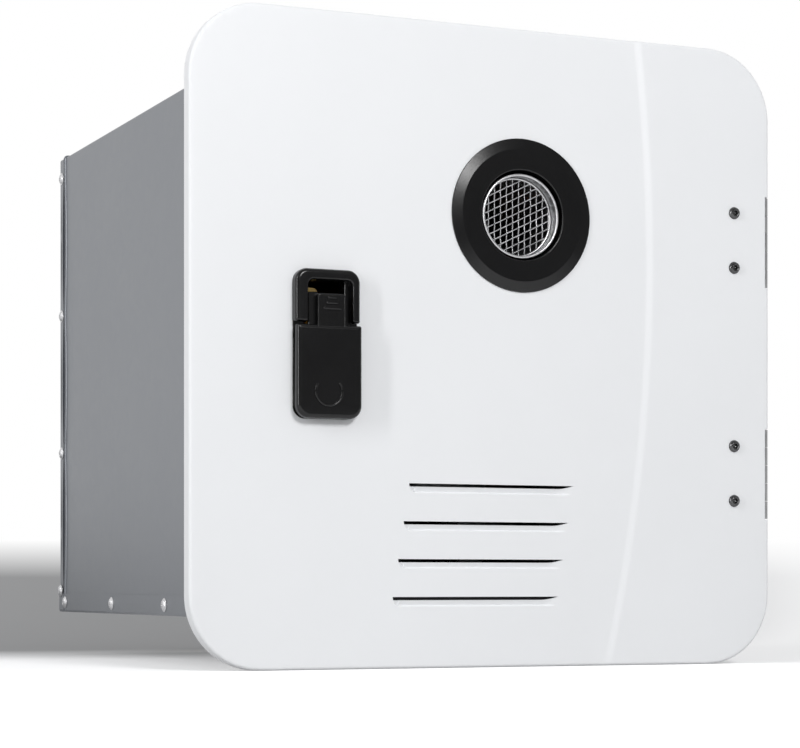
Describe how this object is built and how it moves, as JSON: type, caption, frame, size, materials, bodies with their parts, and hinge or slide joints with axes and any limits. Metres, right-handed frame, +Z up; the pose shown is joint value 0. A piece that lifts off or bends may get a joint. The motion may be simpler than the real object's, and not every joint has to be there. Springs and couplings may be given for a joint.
{
  "type": "recessed tankless water heater",
  "caption": "Recessed tankless propane water heater for a camper wall, with a hinged louvred access door, paddle latch, side-wall exhaust, forced-draught burner and copper heat exchanger.",
  "frame": {"origin": "centre of the mounting flange's back face, which lies on the wall, at the middle of its corner screw holes", "axes": "+X to the right seen from outside, +Y into the wall towards the housing's back, +Z up"},
  "size_m": [0.3814, 0.4188, 0.381],
  "materials": {
    "door_white": "satin moulded plastic",
    "black_moulding": "fine satin moulded plastic",
    "yellow_zinc": "yellow zinc plated steel",
    "galvanised_sheet": "galvanised sheet",
    "dark_steel": "blackened socket screws",
    "bright_steel": "bright stainless steel",
    "hinge_steel": "stainless sheet",
    "frame_paint": "white powder coat",
    "black_rubber": "matt foam rubber",
    "copper": "copper",
    "brass": "machined brass",
    "heat_steel": "heat resisting steel",
    "plated_bracket": "zinc plated sheet",
    "cast_aluminium": "die cast",
    "gas_pipe_steel": "yellow coated pipe",
    "ceramic_white": "glazed alumina",
    "thermostat": "phenolic",
    "fan_housing": "galvanised pressed steel",
    "motor_can": "black enamel",
    "coil_resin": "moulded resin",
    "sensor_plastic": "glass filled nylon",
    "box_plastic": "light grey moulded plastic",
    "board_green": "solder masked board",
    "switch_black": "black moulded plastic",
    "module_plastic": "potted black module"
  },
  "bodies": {
    "cabinet": {"housing_wrap": "galvanised_sheet", "base_tray": "galvanised_sheet", "rear_panel": "galvanised_sheet", "hinge_frame_screws": "dark_steel", "exhaust_pipe": "bright_steel", "exhaust_guard": "bright_steel", "case_screws": "bright_steel", "hinge_pins": "bright_steel", "hinge_frame_leaves": "hinge_steel", "strike_clip": "hinge_steel", "mounting_frame": "frame_paint", "frame_gasket": "black_rubber", "flue_gasket": "black_rubber", "cable_grommet": "black_rubber", "heat_exchanger_shell": "copper", "heat_exchanger_fins": "copper", "heat_exchanger_coil": "copper", "water_pipes": "copper", "cold_inlet_fitting": "brass", "hot_outlet_fitting": "brass", "gas_inlet_fitting": "brass", "drain_plug": "brass", "gas_nozzles": "brass", "flue_hood": "heat_steel", "burner_box": "heat_steel", "burner_bars": "heat_steel", "air_plenum": "heat_steel", "burner_brackets": "plated_bracket", "valve_bracket": "plated_bracket", "fan_saddle": "plated_bracket", "gas_valve_body": "cast_aluminium", "gas_manifold": "cast_aluminium", "gas_inlet_pipe": "gas_pipe_steel", "electrodes": "ceramic_white", "thermal_cutouts": "thermostat", "fan_volute": "fan_housing", "fan_motor": "motor_can", "gas_solenoids": "coil_resin", "flow_sensor_body": "sensor_plastic", "control_box": "box_plastic", "control_box_lid": "box_plastic", "circuit_board": "board_green", "switch_bezel": "switch_black", "igniter_module": "module_plastic"},
    "door": {"door_panel": "door_white", "exhaust_ring": "black_moulding", "hinge_door_leaves": "hinge_steel", "hinge_door_screws": "dark_steel", "hinge_nuts": "bright_steel", "latch_housing": "black_moulding", "latch_back_plate": "hinge_steel", "latch_pin": "bright_steel", "latch_spring": "hinge_steel"},
    "latch": {"latch_paddle": "black_moulding", "latch_hook": "yellow_zinc"},
    "fan": {"fan_impeller": "black_moulding", "fan_shaft": "bright_steel"},
    "flow_rotor": {"flow_sensor_rotor": "sensor_plastic"},
    "rocker": {"switch_rocker": "switch_black"},
    "plungers": {"valve_plungers": "bright_steel"}
  },
  "joints": [
    {"name": "door_hinge", "type": "hinge", "parent": "cabinet", "child": "door", "pos_m": [0.1884, -0.0085, 0], "axis": [0, 0, 1], "range_deg": [0, 170], "deforming": ["strike_clip"]},
    {"name": "latch_pivot", "type": "hinge", "parent": "door", "child": "latch", "pos_m": [-0.1088, -0.015, 0.0015], "axis": [-1, 0, 0], "range_deg": [0, 40], "stiffness_Nm_per_rad": 0.02, "springref_deg": -34.38, "deforming": ["latch_spring"]},
    {"name": "fan_spin", "type": "hinge", "parent": "cabinet", "child": "fan", "pos_m": [-0.004, 0.11, -0.1155], "axis": [0, 1, 0], "continuous": true},
    {"name": "flow_rotor_spin", "type": "hinge", "parent": "cabinet", "child": "flow_rotor", "pos_m": [-0.033, 0.308, -0.06], "axis": [0, 0, 1], "continuous": true},
    {"name": "power_switch", "type": "hinge", "parent": "cabinet", "child": "rocker", "pos_m": [-0.11332, 0.055, 0.1036], "axis": [1, 0, 0], "range_deg": [0, 16]},
    {"name": "valve_lift", "type": "slide", "parent": "cabinet", "child": "plungers", "axis": [0, 0, 1], "range_m": [0, 0.0025], "stiffness_N_per_m": 200, "springref_m": -0.003}
  ]
}
